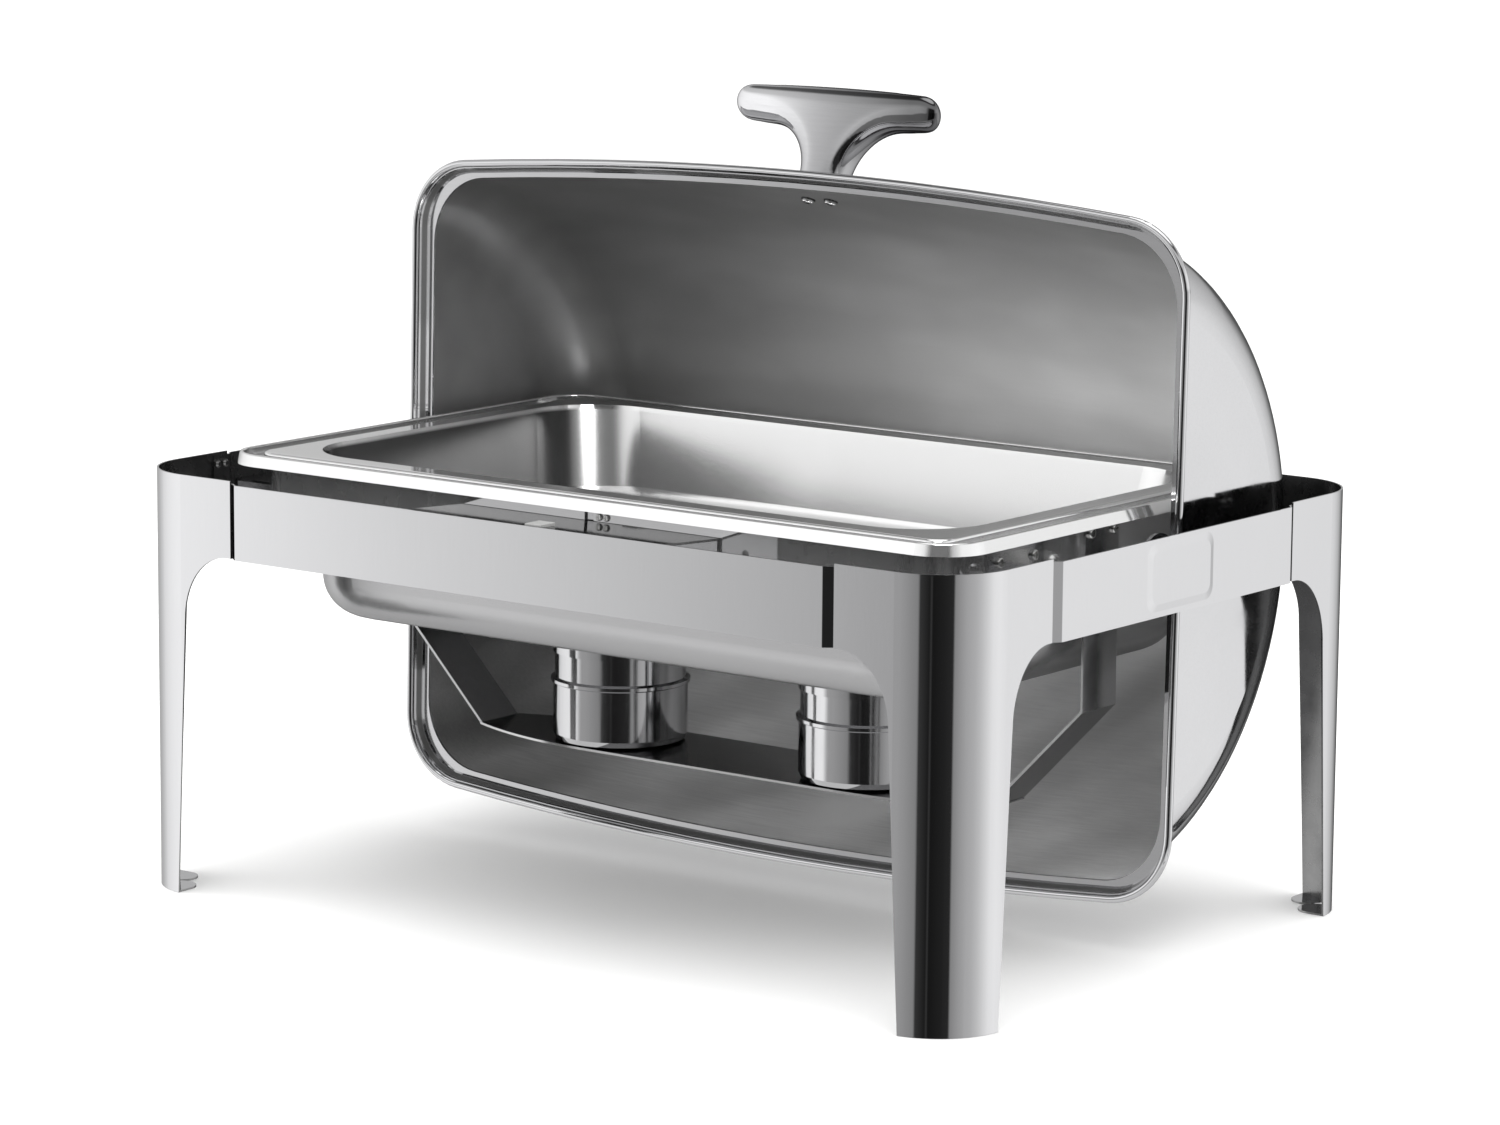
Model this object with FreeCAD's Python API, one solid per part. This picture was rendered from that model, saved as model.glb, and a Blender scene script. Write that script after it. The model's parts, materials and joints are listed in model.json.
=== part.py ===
"""Rectangular roll-top chafing dish, one STEP per piece.

Millimetres, +X to the right, +Y to the back, +Z up. The origin is the centre
of the footprint on the table. The lid is modelled in its open position.
"""
import math
import os

import FreeCAD
import Part
from FreeCAD import Vector

OUT_DIR = "parts"

# Stand
LEG_X = 320.0            # outer face of the legs, half the width
LEG_Y = 223.0            # outer face of the legs, half the depth
LEG_TOP = 268.4
SHEET = 1.2
LEG_CORNER_R = 46.0
LEG_FRONT_W = 88.0       # flange width on the front and rear faces
LEG_SIDE_W = 92.0        # flange width on the side faces
LEG_FRONT_FOOT = 40.6
LEG_SIDE_FOOT = 43.4
ARCH_TOP = 219.6
ARCH_RX = 36.0
ARCH_FRONT_RZ = 42.0
ARCH_SIDE_RZ = 45.0
TAB_R = 12.0             # feet: tabs bent inward at the table
TAB_REACH = 24.0

# Rails between the legs
RAIL_PROUD = 2.75
RAIL_Z0 = 219.5
RAIL_Z1 = 266.5
RAIL_GAP = 6.1           # joggle between the leg edge and the proud face
RAIL_BEND_R = 1.0
RAIL_LAP = 14.0          # tab behind the leg flange
PAD_Y = 36.0
PAD_Z0 = 223.0
PAD_Z1 = 264.0
PAD_R = 8.0
PAD_RISE = 1.0
PAD_SLOPE = 4.5          # width of the pad's sloping edge
STUD_R = 1.5
STUD_LEN = 4.6
NUT_R = 2.75
NUT_H = 2.2
STUD_PITCH = 7.0
STUD_INSET = 5.0
STUD_ROWS = (261.5, 225.0)

# Pivot of the lid
PIVOT_Z = 238.5
PIN_R = 4.0
EAR_X0 = 304.8
EAR_T = 2.4

# Lid, drawn with its rim plane upright, then leaned back by LID_LEAN
LID_LEAN = 1.3
LID_RIM_Y = 28.4
LID_HALF_W = 303.2
LID_HALF_H = 220.7
LID_CROWN_DROP = 10.8
LID_CORNER_R = 47.4
LID_SHEET = 1.0
LID_INNER_X = 290.7
LID_INNER_R = 212.3
LID_INNER_DROP = 10.6
LID_EDGE_R = 44.4
LID_AXIS_Y = -3.0
LID_STEP_Y = 38.4
BEAD_R = 2.5
STEP_INSET0 = 4.6
STEP_INSET1 = 8.6

# Handle
HANDLE_SEAT = 20.3       # degrees back from the top of the open lid
HANDLE_LEAN = 20.0       # the stem's own lean
HANDLE_HALF_LEN = 78.0
HANDLE_END_R = 10.0
HANDLE_UNDER = 48.0      # underside of the bar above the seat
HANDLE_RISE = 1.5        # the bar arches a little
HANDLE_FLARE = 36.0
HANDLE_T = 22.0
HANDLE_EDGE_R = 8.0
HANDLE_STEM = 15.2
HANDLE_SUNK = 9.0
HANDLE_SCREW_X = 8.8
HANDLE_SCREW_R = 2.0

# Pans
PAN_TOP = 277.0
LIP_X = 284.5
LIP_Y = 177.5
LIP_R = 30.0
LIP_Z0 = 269.6
LIP_T = 4.6
LIP_DRAFT = 2.0           # the lip leans in towards its top
FLANGE_TOP = 272.0
WATER_X = 258.5          # outer size of the body under the flange
WATER_Y = 152.5
WATER_BASE = 171.0
WATER_CORNER_R = 55.0
WATER_TAPER = 7.0
FOOD_RIM_X = 265.0       # 530 x 325 mm gastronorm rim
FOOD_RIM_Y = 162.5
FOOD_RIM_R = 12.0
FOOD_X = 251.0
FOOD_Y = 148.0
FOOD_BASE = 212.0
FOOD_CORNER_R = 50.0
FOOD_TAPER = 11.0

# Support ring under the water pan's flange
RING_X = 265.5
RING_Y = 166.0
RING_R = 30.0
RING_T = 1.5
RING_Z0 = 247.0
RING_Z1 = 270.9

# Front ledge
LEDGE_X = 7.5             # the ledge sits a little right of centre
LEDGE_HALF_W = 99.0
LEDGE_BACK_Z = 262.0      # it rises from the ring towards the rail
LEDGE_FRONT_Z = 265.6
LEDGE_GAP = 1.0           # open line between the ledge and the ring
BUFFER_X = (2.0, 14.0)
BUFFER_Y = (-220.0, -206.0)

# Fuel tray and cups
TRAY_T = 1.5
STRAP_HALF_W = 18.0
STRAP_BEND_Z = 155.0
SHELF_HALF_W = 41.0
SHELF_TOP = 88.0
SHELF_END_R = 238.0
CUP_CENTRES = (-99.5, 96.5)
CUP_R = 43.2
CUP_SHOULDER_Z = 125.5
CUP_TOP = 154.0

X_AXIS = Vector(1, 0, 0)
Y_AXIS = Vector(0, 1, 0)
Z_AXIS = Vector(0, 0, 1)


# ---------------------------------------------------------------- helpers
def box(x0, x1, y0, y1, z0, z1):
    return Part.makeBox(x1 - x0, y1 - y0, z1 - z0, Vector(x0, y0, z0))


def cylinder(start, axis, radius, length):
    return Part.makeCylinder(radius, length, Vector(*start), Vector(*axis))


def fuse(shapes):
    body = shapes[0].multiFuse(shapes[1:])
    return body.removeSplitter()


def cut(body, tools):
    return body.cut(Part.makeCompound(tools))


def wire_of(points, closed=True):
    """Polyline through the points."""
    points = [Vector(*p) for p in points]
    if closed:
        points.append(points[0])
    return Part.makePolygon(points)


def prism(wire, direction):
    return Part.Face(wire).extrude(Vector(*direction))


def arc_about(centre, radius, a0, a1, place):
    """Arc in a 2-D frame; place maps its (u, v) to 3-D."""
    points = []
    for angle in (a0, (a0 + a1) / 2, a1):
        u = centre[0] + radius * math.cos(angle)
        v = centre[1] + radius * math.sin(angle)
        points.append(place(u, v))
    return Part.Arc(*points).toShape()


def rounded_rect(hx, hy, radius, z):
    """Rounded rectangle centred on the Z axis at height z."""
    def place(u, v):
        return Vector(u, v, z)

    cx, cy = hx - radius, hy - radius
    corners = [(cx, cy, 0), (-cx, cy, 1), (-cx, -cy, 2), (cx, -cy, 3)]
    edges = []
    ends = []
    for x, y, quarter in corners:
        start = quarter * math.pi / 2
        edges.append(arc_about((x, y), radius, start, start + math.pi / 2, place))
        ends.append((edges[-1].valueAt(edges[-1].FirstParameter),
                     edges[-1].valueAt(edges[-1].LastParameter)))
    wires = []
    for index, edge in enumerate(edges):
        wires.append(edge)
        following = ends[(index + 1) % 4][0]
        wires.append(Part.makeLine(ends[index][1], following))
    return Part.Wire(wires)


def rounded_block(hx, hy, radius, z0, z1):
    return prism(rounded_rect(hx, hy, radius, z0), (0, 0, z1 - z0))


def band(hx, hy, radius, thickness, z0, z1):
    """Closed upright band; hx and hy are its outer half sizes."""
    outer = rounded_block(hx, hy, radius, z0, z1)
    inner = rounded_block(hx - thickness, hy - thickness, radius - thickness, z0 - 1, z1 + 1)
    return outer.cut(inner)


def mirror_x(shape):
    return shape.mirror(Vector(0, 0, 0), X_AXIS)


def mirror_y(shape):
    return shape.mirror(Vector(0, 0, 0), Y_AXIS)


def hex_prism(centre, axis, radius, height):
    """Hexagonal prism with its corners at radius."""
    points = []
    for corner in range(6):
        angle = math.pi / 3 * corner
        points.append(Vector(radius * math.cos(angle), radius * math.sin(angle), 0))
    points.append(points[0])
    shape = Part.Face(Part.makePolygon(points)).extrude(Vector(0, 0, height))
    shape.Placement = FreeCAD.Placement(Vector(*centre), FreeCAD.Rotation(Z_AXIS, Vector(*axis)))
    return shape


def pan_screw(seat, axis, shank_r, shank_len, head_r, head_h):
    """Domed screw: the head stands on the seat, the shank goes along axis."""
    direction = Vector(*axis)
    seat = Vector(*seat)
    back = direction * -head_h
    head = Part.makeCylinder(head_r, head_h, seat, direction * -1)
    rim = [e for e in head.Edges if abs((e.CenterOfMass - seat - back).Length) < 0.01]
    head = head.makeFillet(head_h * 0.6, rim)
    shank = Part.makeCylinder(shank_r, shank_len, seat, direction)
    slot_across = Vector(0, 0, 1) if abs(direction.z) < 0.5 else Vector(1, 0, 0)
    side = direction.cross(slot_across)
    depth = head_h * 0.35
    slots = []
    for along, across in ((slot_across, side), (side, slot_across)):
        corner = seat + back - along * (head_r * 0.55) - across * (head_r * 0.11)
        points = [corner, corner + along * (head_r * 1.1)]
        points.append(points[1] + across * (head_r * 0.22))
        points.append(corner + across * (head_r * 0.22))
        face = Part.Face(Part.makePolygon(points + [corner]))
        slots.append(face.extrude(direction * depth))
    return head.cut(Part.makeCompound(slots)).fuse(shank).removeSplitter()


# ---------------------------------------------------------------- legs
def flange_trim(outer, width, foot, rz, place, sweep):
    """Solid that removes the sheet inside one flange's arch and taper."""
    start = outer - width
    arch_x = outer - width + 3.0 + ARCH_RX
    centre = (arch_x - ARCH_RX, ARCH_TOP - rz)
    steps = 24
    points = [(start - 40, -5), (start - 40, ARCH_TOP), (centre[0], ARCH_TOP)]
    for step in range(1, steps + 1):
        angle = math.pi / 2 * (1 - step / steps)
        points.append((centre[0] + ARCH_RX * math.cos(angle), centre[1] + rz * math.sin(angle)))
    points.append((outer - foot, 0.0))
    points.append((outer - foot, -5.0))
    upper = points[2:-2]
    curve = Part.BSplineCurve()
    curve.interpolate([place(u, v) for u, v in upper])
    edges = [curve.toShape()]
    loop = [upper[-1], points[-2], points[-1], points[0], points[1], upper[0]]
    for first, second in zip(loop, loop[1:]):
        edges.append(Part.makeLine(place(*first), place(*second)))
    return Part.Face(Part.Wire(edges)).extrude(sweep)


def foot_tab(place_x, place_y, along_x):
    """Tab at z 0 reaching inward from a flange, with a round end."""
    straight = TAB_REACH - TAB_R
    if along_x:
        plate = box(place_x - straight, place_x, place_y - TAB_R, place_y + TAB_R, 0, SHEET)
        end = cylinder((place_x - straight, place_y, 0), (0, 0, 1), TAB_R, SHEET)
    else:
        plate = box(place_x - TAB_R, place_x + TAB_R, place_y - straight, place_y, 0, SHEET)
        end = cylinder((place_x, place_y - straight, 0), (0, 0, 1), TAB_R, SHEET)
    return plate.fuse(end)


def stud_places():
    """(distance from the leg edge, height) of each welded stud."""
    places = []
    for z in STUD_ROWS:
        for offset in (STUD_INSET, STUD_INSET + STUD_PITCH):
            places.append((offset, z))
    return places


def leg():
    """Rear right leg: a rounded corner of sheet with two arched flanges."""
    size = 2 * max(LEG_FRONT_W, LEG_SIDE_W)
    outer = rounded_block(LEG_X, LEG_Y, LEG_CORNER_R, 0, LEG_TOP)
    inner = rounded_block(LEG_X - SHEET, LEG_Y - SHEET, LEG_CORNER_R - SHEET, -1, LEG_TOP + 1)
    sheet = outer.cut(inner)
    corner = box(LEG_X - LEG_FRONT_W, LEG_X + 10, LEG_Y - LEG_SIDE_W, LEG_Y + 10, -1, size + LEG_TOP)
    sheet = sheet.common(corner)
    front = flange_trim(LEG_X, LEG_FRONT_W, LEG_FRONT_FOOT, ARCH_FRONT_RZ,
                        lambda u, v: Vector(u, LEG_Y - 20, v), Vector(0, 40, 0))
    side = flange_trim(LEG_Y, LEG_SIDE_W, LEG_SIDE_FOOT, ARCH_SIDE_RZ,
                       lambda u, v: Vector(LEG_X - 20, u, v), Vector(40, 0, 0))
    sheet = cut(sheet, [front, side])
    tab_x = LEG_X - LEG_FRONT_FOOT + TAB_R
    tab_y = LEG_Y - LEG_SIDE_FOOT + TAB_R
    tabs = foot_tab(tab_x, LEG_Y, False).fuse(foot_tab(LEG_X, tab_y, True))
    pieces = [sheet, tabs.common(outer)]
    for offset, z in stud_places():
        start = (LEG_X - LEG_FRONT_W + offset, LEG_Y - SHEET - STUD_LEN, z)
        pieces.append(cylinder(start, (0, 1, 0), STUD_R, STUD_LEN + 0.3))
        start = (LEG_X - SHEET - STUD_LEN, LEG_Y - LEG_SIDE_W + offset, z)
        pieces.append(cylinder(start, (1, 0, 0), STUD_R, STUD_LEN + 0.3))
    return fuse(pieces)


# ---------------------------------------------------------------- rails
def rail_section(half_len, face, leg_edge):
    """Plan outline of a rail whose outer face is at +v, in (u, v)."""
    proud = face + RAIL_PROUD
    tab = face - SHEET - 0.05
    lap = leg_edge + RAIL_LAP
    bend = leg_edge - 1.0
    outer = [(-lap, tab), (-bend, tab), (-half_len, proud)]
    outer += [(half_len, proud), (bend, tab), (lap, tab)]
    inner = [(u, v - SHEET) for u, v in reversed(outer)]
    return outer + inner


def rail_strip(points):
    """Upright strip with its joggle bends rounded."""
    strip = prism(wire_of(points), (0, 0, RAIL_Z1 - RAIL_Z0))
    ends = (0, 5, 6, 11)     # corners of the outline that are sheared, not bent
    bends = [Vector(*p) for i, p in enumerate(points) if i not in ends]
    edges = []
    for edge in strip.Edges:
        foot = min(edge.Vertexes, key=lambda v: v.Z).Point
        upright = edge.BoundBox.ZLength > 1
        if upright and any((foot - bend).Length < 0.01 for bend in bends):
            edges.append(edge)
    return strip.makeFillet(RAIL_BEND_R, edges)


def long_rail():
    """Rear rail; the front rail is its mirror image."""
    leg_edge = LEG_X - LEG_FRONT_W
    points = rail_section(leg_edge - RAIL_GAP, LEG_Y, leg_edge)
    rail = rail_strip([(u, v, RAIL_Z0) for u, v in points])
    holes = []
    for offset, z in stud_places():
        for sign in (-1, 1):
            start = (sign * (leg_edge + offset), LEG_Y - 8, z)
            holes.append(cylinder(start, (0, 1, 0), STUD_R + 0.15, 9))
    return cut(rail, holes)


def pad_block(x, drop):
    """Pad with sloping edges, raised from the plane at x, across the pivot."""
    half_z = (PAD_Z1 - PAD_Z0) / 2
    base = rounded_rect(half_z, PAD_Y, PAD_R, 0)
    top = rounded_rect(half_z - PAD_SLOPE, PAD_Y - PAD_SLOPE, PAD_R - PAD_SLOPE / 2, PAD_RISE)
    block = Part.makeLoft([base, top], True, True)
    block = block.fuse(rounded_block(half_z, PAD_Y, PAD_R, -drop, 0)).removeSplitter()
    block.rotate(Vector(0, 0, 0), Y_AXIS, 90)
    block.translate(Vector(x, 0, (PAD_Z0 + PAD_Z1) / 2))
    return block


def side_rail():
    """Right rail with an embossed pad over the lid pivot."""
    leg_edge = LEG_Y - LEG_SIDE_W
    points = rail_section(leg_edge - RAIL_GAP, LEG_X, leg_edge)
    rail = rail_strip([(v, u, RAIL_Z0) for u, v in points])
    outer = LEG_X + RAIL_PROUD
    pad = pad_block(outer, SHEET / 2)
    hollow = pad_block(outer - SHEET, SHEET)
    holes = [hollow]
    for offset, z in stud_places():
        for sign in (-1, 1):
            start = (LEG_X - 8, sign * (leg_edge + offset), z)
            holes.append(cylinder(start, (1, 0, 0), STUD_R + 0.15, 9))
    return cut(fuse([rail, pad]), holes)


def rail_nuts():
    """All the small nuts that hold the rail tabs to the legs' studs."""
    nuts = []
    seat_y = LEG_Y - SHEET - 0.05 - SHEET - 0.05
    seat_x = LEG_X - SHEET - 0.05 - SHEET - 0.05
    for offset, z in stud_places():
        x = LEG_X - LEG_FRONT_W + offset
        y = LEG_Y - LEG_SIDE_W + offset
        on_y = hex_prism((x, seat_y, z), (0, -1, 0), NUT_R, NUT_H)
        on_x = hex_prism((seat_x, y, z), (-1, 0, 0), NUT_R, NUT_H)
        on_y = on_y.cut(cylinder((x, seat_y + 1, z), (0, -1, 0), STUD_R + 0.05, 9))
        on_x = on_x.cut(cylinder((seat_x + 1, y, z), (-1, 0, 0), STUD_R + 0.05, 9))
        for nut in (on_y, on_x):
            nuts += [nut, mirror_x(nut), mirror_y(nut), mirror_x(mirror_y(nut))]
    return Part.makeCompound(nuts)


# ---------------------------------------------------------------- pan support
RAIL_IN_X = LEG_X + RAIL_PROUD - SHEET
RAIL_IN_Y = LEG_Y + RAIL_PROUD - SHEET
STRAP_X = RING_X + 0.05
TRAY_SCREW_Y = 12.5
TRAY_SCREW_Z = 262.5
RING_GAP_X = (4.2, 11.2)  # the ring's ends stop short of each other at the front
RING_SCREW_X = (15.8, 21.4)
RING_SCREW_Z = 265.0
LEDGE_FRONT_Y = -RAIL_IN_Y + 0.05
LEDGE_BACK_Y = -RING_Y - LEDGE_GAP
ARM_Y0 = -120.0
ARM_Y1 = -62.0
ARM_Z = 249.0
ARM_T = 1.5
ARM_SCREW_Y = (-109.0, -73.0)
ARM_SCREW_Z = 257.5


def support_ring():
    """Strip bent to a ring that carries the pans, open at the front where its ends meet."""
    ring = band(RING_X, RING_Y, RING_R, RING_T, RING_Z0, RING_Z1)
    holes = [box(*RING_GAP_X, -RING_Y - 1, -RING_Y + RING_T + 1, RING_Z0 - 1, RING_Z1 + 1)]
    for sign in (-1, 1):
        for y in (-TRAY_SCREW_Y, TRAY_SCREW_Y):
            holes.append(cylinder((sign * (RING_X + 1), y, TRAY_SCREW_Z), (-sign, 0, 0), 2.0, 4))
        for y in ARM_SCREW_Y:
            holes.append(cylinder((sign * (RING_X + 1), y, ARM_SCREW_Z), (-sign, 0, 0), 2.0, 4))
    for x in RING_SCREW_X:
        holes.append(cylinder((x, -RING_Y - 1, RING_SCREW_Z), (0, 1, 0), 1.2, 4))
    return cut(ring, holes)


def ring_joint():
    """Backing plate that bridges the ring's open ends."""
    y0 = -RING_Y + RING_T + 0.05
    plate = box(RING_GAP_X[0] - 16, RING_GAP_X[1] + 16, y0, y0 + 1.5, RING_Z0 + 2, RING_Z1 - 2)
    holes = [cylinder((x, y0 - 1, RING_SCREW_Z), (0, 1, 0), 1.2, 4) for x in RING_SCREW_X]
    return cut(plate, holes)


def ring_screws():
    """Small screws through the ring into its backing plate."""
    screws = []
    for x in RING_SCREW_X:
        screws.append(pan_screw((x, -RING_Y, RING_SCREW_Z), (0, 1, 0), 1.1, 5.0, 2.2, 1.4))
    return Part.makeCompound(screws)


def ledge_height(y):
    """Height of the ledge's sloping top."""
    share = (y - LEDGE_FRONT_Y) / (LEDGE_BACK_Y - LEDGE_FRONT_Y)
    return LEDGE_FRONT_Z + share * (LEDGE_BACK_Z - LEDGE_FRONT_Z)


def side_prism(profile, x0, x1):
    """A (y, z) outline carried from x0 to x1."""
    return prism(wire_of([(x0, y, z) for y, z in profile]), (x1 - x0, 0, 0))


def front_ledge():
    """Channel between the front rail and the ring, its top rising to the rail."""
    sheet = 1.5
    front = LEDGE_FRONT_Y
    back = LEDGE_BACK_Y
    profile = [(front, 230.0), (front + sheet, 230.0),
               (front + sheet, ledge_height(front + sheet) - sheet),
               (back - sheet, ledge_height(back - sheet) - sheet),
               (back - sheet, 252.0), (back, 252.0), (back, LEDGE_BACK_Z), (front, LEDGE_FRONT_Z)]
    x0 = LEDGE_X - LEDGE_HALF_W
    x1 = LEDGE_X + LEDGE_HALF_W
    holes = [cylinder((x, front - 1, 242.0), (0, 1, 0), 2.6, 4) for x in (x0 + 24, x1 - 24)]
    return cut(side_prism(profile, x0, x1), holes)


def side_bracket():
    """Right arm from the side rail to the ring, in the lid's free quarter."""
    x_rail = RAIL_IN_X - 0.05
    x_ring = RING_X + 0.05
    rail_leaf = box(x_rail - ARM_T, x_rail, ARM_Y0, ARM_Y1, 226, ARM_Z)
    arm = box(x_ring, x_rail, ARM_Y0, ARM_Y1, ARM_Z - ARM_T, ARM_Z)
    ring_leaf = box(x_ring, x_ring + ARM_T, ARM_Y0, ARM_Y1, ARM_Z - ARM_T, 268.0)
    holes = []
    for y in ARM_SCREW_Y:
        holes.append(cylinder((x_ring - 1, y, ARM_SCREW_Z), (1, 0, 0), 2.0, 4))
    holes.append(cylinder(((x_ring + x_rail) / 2, (ARM_Y0 + ARM_Y1) / 2, ARM_Z - 3), (0, 0, 1), 12, 5))
    return cut(fuse([rail_leaf, arm, ring_leaf]), holes)


def bracket_screws():
    screws = []
    seat = RING_X + 0.05 + ARM_T
    for y in ARM_SCREW_Y:
        screw = pan_screw((seat, y, ARM_SCREW_Z), (-1, 0, 0), 1.9, 5.0, 3.6, 2.2)
        screws += [screw, mirror_x(screw)]
    return Part.makeCompound(screws)


# ---------------------------------------------------------------- lid pivot
PLATE_T = 2.0
PLATE_X1 = RAIL_IN_X - 0.05
PLATE_X0 = PLATE_X1 - PLATE_T
PLATE_HALF_Y = 46.0
PLATE_Z0 = 220.0
PLATE_Z1 = 265.5
STOP_R = 2.5
STOP_Y = 32.0
EAR_HALF = 12.0
WASHER_T = 1.0
NUT_X0 = EAR_X0 - 11.8
HEAD_R = 9.0
HEAD_T = 1.65
HEAD_SINK = 0.9          # the pin's head sits in a shallow recess in the plate


def pivot_plate():
    """Plate behind the pad: it holds the pin and the stud that stops the open lid."""
    plate = box(PLATE_X0, PLATE_X1, -PLATE_HALF_Y, PLATE_HALF_Y, PLATE_Z0, PLATE_Z1)
    upright = [e for e in plate.Edges if abs(e.BoundBox.XLength - PLATE_T) < 0.01]
    plate = plate.makeFillet(6.0, upright)
    below = EAR_HALF + STOP_R + 0.1
    start = (EAR_X0, STOP_Y, PIVOT_Z - below)
    stud = lean_back(cylinder(start, (1, 0, 0), STOP_R, PLATE_X0 - EAR_X0 + 0.5))
    hole = cylinder((PLATE_X0 - 1, 0, PIVOT_Z), (1, 0, 0), PIN_R + 0.05, PLATE_T + 2)
    recess = cylinder((PLATE_X1 - HEAD_SINK, 0, PIVOT_Z), (1, 0, 0), HEAD_R + 0.3, 2)
    return cut(fuse([plate, stud]), [hole, recess])


def pivot_pin():
    """Headed pin: its flat head is hidden behind the pad."""
    head = cylinder((PLATE_X1 - HEAD_SINK + 0.05, 0, PIVOT_Z), (1, 0, 0), HEAD_R, HEAD_T)
    shaft = cylinder((NUT_X0 + 2.2, 0, PIVOT_Z), (1, 0, 0), PIN_R, PLATE_X1 - NUT_X0 - 2.2)
    return head.fuse(shaft).removeSplitter()


def tube(x0, x1, r_out, r_in):
    outer = cylinder((x0, 0, PIVOT_Z), (1, 0, 0), r_out, x1 - x0)
    return outer.cut(cylinder((x0 - 1, 0, PIVOT_Z), (1, 0, 0), r_in, x1 - x0 + 2))


def pivot_bush():
    return tube(EAR_X0 + EAR_T + 0.1, PLATE_X0 - 0.05, 8.0, PIN_R + 0.05)


def pivot_washer():
    return tube(EAR_X0 - 0.1 - WASHER_T, EAR_X0 - 0.1, 8.5, PIN_R + 0.05)


def pivot_nut():
    """Domed cap nut on the pin's inner end."""
    x1 = EAR_X0 - 0.15 - WASHER_T
    body = hex_prism((x1, 0, PIVOT_Z), (-1, 0, 0), 7.5, 5.0)
    dome = Part.makeSphere(6.3, Vector(x1 - 4.2, 0, PIVOT_Z))
    dome = dome.common(cylinder((x1 - 12, 0, PIVOT_Z), (1, 0, 0), 6.3, 12))
    bore = cylinder((NUT_X0 + 1.9, 0, PIVOT_Z), (1, 0, 0), PIN_R + 0.05, 20)
    dome = dome.common(box(NUT_X0, x1, -10, 10, PIVOT_Z - 10, PIVOT_Z + 10))
    return body.fuse(dome).cut(bore).removeSplitter()


# ---------------------------------------------------------------- lid
def crown_side(half_w, half_h, crown_r, corner_r):
    """Centre of a corner arc that touches the side and the crown arc."""
    cx = half_w - corner_r
    crown_centre = half_h - crown_r
    cz = crown_centre + math.sqrt((crown_r - corner_r) ** 2 - cx ** 2)
    tilt = math.atan2(cz - crown_centre, cx)
    return cx, cz, tilt


def crowned_edges(half_w, half_h, crown_r, corner_r, place):
    """Right side line end, corner, crown, corner, left side line end."""
    cx, cz, tilt = crown_side(half_w, half_h, crown_r, corner_r)
    centre = (0.0, half_h - crown_r)
    right = arc_about((cx, cz), corner_r, 0.0, tilt, place)
    crown = arc_about(centre, crown_r, tilt, math.pi - tilt, place)
    left = arc_about((-cx, cz), corner_r, math.pi - tilt, math.pi, place)
    return [right, crown, left], cz


RIM_CROWN_X = LID_HALF_W - LID_CORNER_R
RIM_CROWN_R = (RIM_CROWN_X ** 2 + LID_CROWN_DROP ** 2) / (2 * LID_CROWN_DROP)
ROLL_CROWN_R = (RIM_CROWN_X ** 2 + LID_INNER_DROP ** 2) / (2 * LID_INNER_DROP)


def lid_outline(inset, y):
    """Closed outline of the lid's opening, moved inward by inset."""
    sizes = (LID_HALF_W - inset, LID_HALF_H - inset, RIM_CROWN_R - inset, LID_CORNER_R - inset)
    top, cz = crowned_edges(*sizes, lambda u, v: Vector(u, y, PIVOT_Z + v))
    bottom, _ = crowned_edges(*sizes, lambda u, v: Vector(-u, y, PIVOT_Z - v))
    half_w = sizes[0]
    down = Part.makeLine(Vector(-half_w, y, PIVOT_Z + cz), Vector(-half_w, y, PIVOT_Z - cz))
    up = Part.makeLine(Vector(half_w, y, PIVOT_Z - cz), Vector(half_w, y, PIVOT_Z + cz))
    return Part.Wire(top + [down] + bottom + [up])


def roll_solid(offset):
    """Barrel turned about the lid's own axis; offset grows it outward."""
    sizes = (LID_INNER_X + offset, LID_INNER_R + offset,
             ROLL_CROWN_R + offset, LID_EDGE_R + offset)

    def place(u, v):
        return Vector(u, LID_AXIS_Y, PIVOT_Z + v)

    edges, cz = crowned_edges(*sizes, place)
    half_w = sizes[0]
    corners = [place(-half_w, cz), place(-half_w, 0), place(half_w, 0), place(half_w, cz)]
    for first, second in zip(corners, corners[1:]):
        edges.append(Part.makeLine(first, second))
    profile = Part.Face(Part.Wire(edges))
    return profile.revolve(place(0, 0), X_AXIS, 360)


def slanted_ring(inset0, inset1, y0, y1, thickness):
    """Sheet wall that goes from one outline to a smaller one deeper in."""
    outer = Part.makeLoft([lid_outline(inset0, y0), lid_outline(inset1, y1)], True, True)
    inner = Part.makeLoft([lid_outline(inset0 + thickness, y0),
                           lid_outline(inset1 + thickness, y1)], True, True)
    return outer.cut(inner)


def rim_bead():
    """Rolled edge: a round section carried round the outline."""
    path = lid_outline(BEAD_R, LID_RIM_Y + BEAD_R)
    start = path.Edges[0].valueAt(path.Edges[0].FirstParameter)
    tangent = path.Edges[0].tangentAt(path.Edges[0].FirstParameter)
    section = Part.Wire(Part.makeCircle(BEAD_R, start, tangent))
    return path.makePipeShell([section], True, True)


def handle_holes(radius):
    """Holes through the lid for the handle's screws."""
    tools = []
    for x in (-HANDLE_SCREW_X, HANDLE_SCREW_X):
        hole = cylinder((x, 0, -20), (0, 0, 1), radius, 40)
        tools.append(on_lid_top(hole))
    return tools


def on_lid_top(shape, lean=0.0):
    """Carry a shape from a local frame (Z outward) to the handle's seat."""
    shape = shape.copy()
    shape.rotate(Vector(0, 0, 0), X_AXIS, -lean)
    shape.translate(Vector(0, 0, LID_INNER_R + LID_SHEET))
    shape.rotate(Vector(0, 0, 0), X_AXIS, -HANDLE_SEAT)
    shape.translate(Vector(0, LID_AXIS_Y, PIVOT_Z))
    return shape


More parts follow.
